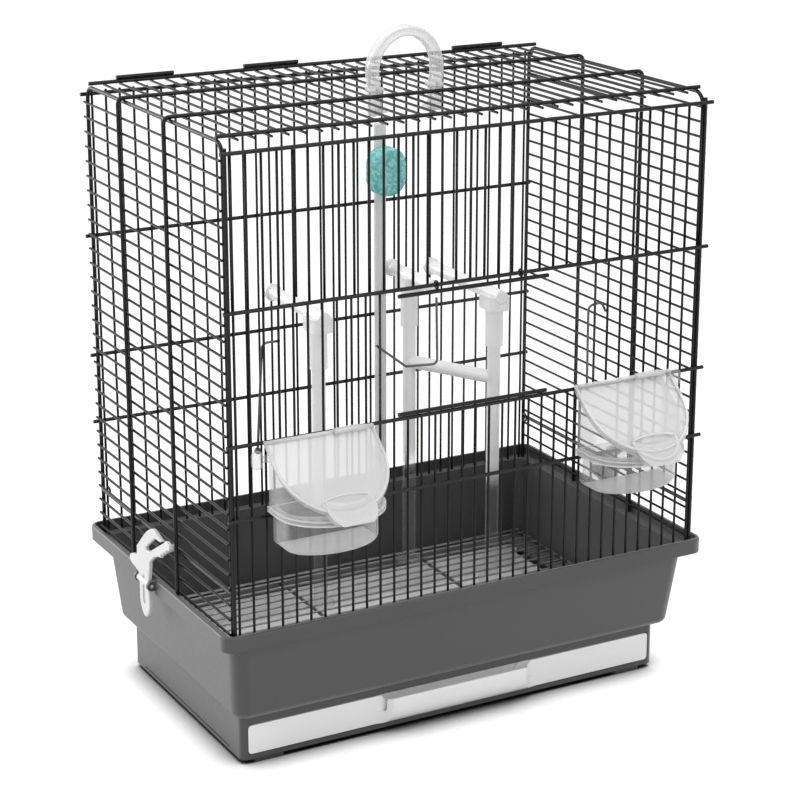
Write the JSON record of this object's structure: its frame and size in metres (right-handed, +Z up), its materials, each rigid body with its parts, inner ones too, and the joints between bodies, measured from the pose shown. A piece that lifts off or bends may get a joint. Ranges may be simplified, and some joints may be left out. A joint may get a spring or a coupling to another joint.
{
  "type": "bird cage",
  "caption": "Rectangular wire bird cage on a moulded tub with a pull-out drawer, a front flap, two outside feeders, side clips, perches and a carry handle.",
  "frame": {"origin": "middle of the tub's plan, on the floor under the feet", "axes": "+Z up, -Y is the front with the door and the feeders, +X to the right seen from the front"},
  "size_m": [0.4734, 0.3608, 0.5778],
  "materials": {
    "coated_wire": "black powder coat, satin",
    "bare_wire": "bare zinc plated wire, dull",
    "tub": "moulded grey, fine grain",
    "white_plastic": "moulded white, soft gloss",
    "clear_plastic": "clear moulded plastic, polished",
    "mineral": "pressed turquoise mineral with light specks"
  },
  "bodies": {
    "drawer": {"drawer_tray": "white_plastic"},
    "door": {"door_panel": "clear_plastic", "door_rods": "coated_wire", "door_rings": "coated_wire"},
    "feeder_left": {"feeder_cup_left": "clear_plastic", "feeder_hood_left": "clear_plastic"},
    "feeder_right": {"feeder_cup_right": "clear_plastic", "feeder_hood_right": "clear_plastic"},
    "hook_left": {"feeder_hook_left": "bare_wire"},
    "hook_right": {"feeder_hook_right": "bare_wire"},
    "clip_left": {"clip_left": "white_plastic"},
    "clip_right": {"clip_right": "white_plastic"},
    "base": {"base_tub": "tub", "feet": "tub", "floor_grate": "bare_wire", "clip_pins": "bare_wire", "post_left": "clear_plastic", "post_middle": "clear_plastic", "post_right": "clear_plastic", "perch_lower": "clear_plastic"},
    "cage": {"side_frame_left": "coated_wire", "side_frame_right": "coated_wire", "hoop_rear": "coated_wire", "hoop_front": "coated_wire", "front_cross_wires": "coated_wire", "back_cross_wires": "coated_wire", "roof_cross_wires": "coated_wire", "roof_sleeves": "coated_wire", "front_end_wires": "coated_wire", "side_rails": "coated_wire", "front_wires_left": "coated_wire", "front_wires_left_inner": "coated_wire", "front_wires_center": "coated_wire", "front_wires_right": "coated_wire", "front_cut_wires": "coated_wire", "front_upper_wires": "coated_wire", "back_wires": "coated_wire", "left_side_wires": "coated_wire", "right_side_wires": "coated_wire", "roof_wires": "coated_wire", "door_latch_wire": "bare_wire", "carry_handle": "clear_plastic", "perch_left": "clear_plastic", "perch_middle": "clear_plastic", "perch_right": "clear_plastic", "post_tall": "clear_plastic", "mineral_block": "mineral"}
  },
  "joints": [
    {"name": "drawer_slide", "type": "slide", "parent": "base", "child": "drawer", "axis": [0, -1, 0], "range_m": [0, 0.2]},
    {"name": "cage_lift", "type": "slide", "parent": "base", "child": "cage", "axis": [0, 0, 1], "range_m": [0, 0.27]},
    {"name": "door_hinge", "type": "hinge", "parent": "cage", "child": "door", "pos_m": [0, -0.1428, 0.3921], "axis": [-1, 0, 0], "range_deg": [0, 100]},
    {"name": "clip_left_hinge", "type": "hinge", "parent": "base", "child": "clip_left", "pos_m": [-0.2325, 0.008, 0.125], "axis": [0, -1, 0], "range_deg": [0, 20]},
    {"name": "clip_right_hinge", "type": "hinge", "parent": "base", "child": "clip_right", "pos_m": [0.2325, 0.008, 0.125], "axis": [0, 1, 0], "range_deg": [0, 20]},
    {"name": "feeder_left_slide", "type": "slide", "parent": "cage", "child": "feeder_left", "axis": [0, -1, 0], "range_m": [0, 0.08]},
    {"name": "feeder_right_slide", "type": "slide", "parent": "cage", "child": "feeder_right", "axis": [0, -1, 0], "range_m": [0, 0.08]},
    {"name": "hook_left_hinge", "type": "hinge", "parent": "cage", "child": "hook_left", "pos_m": [-0.194, -0.1375, 0.278], "axis": [0, 1, 0], "range_deg": [0, 55]},
    {"name": "hook_right_hinge", "type": "hinge", "parent": "cage", "child": "hook_right", "pos_m": [0.1086, -0.1375, 0.284], "axis": [0, 1, 0], "range_deg": [0, 55]}
  ]
}
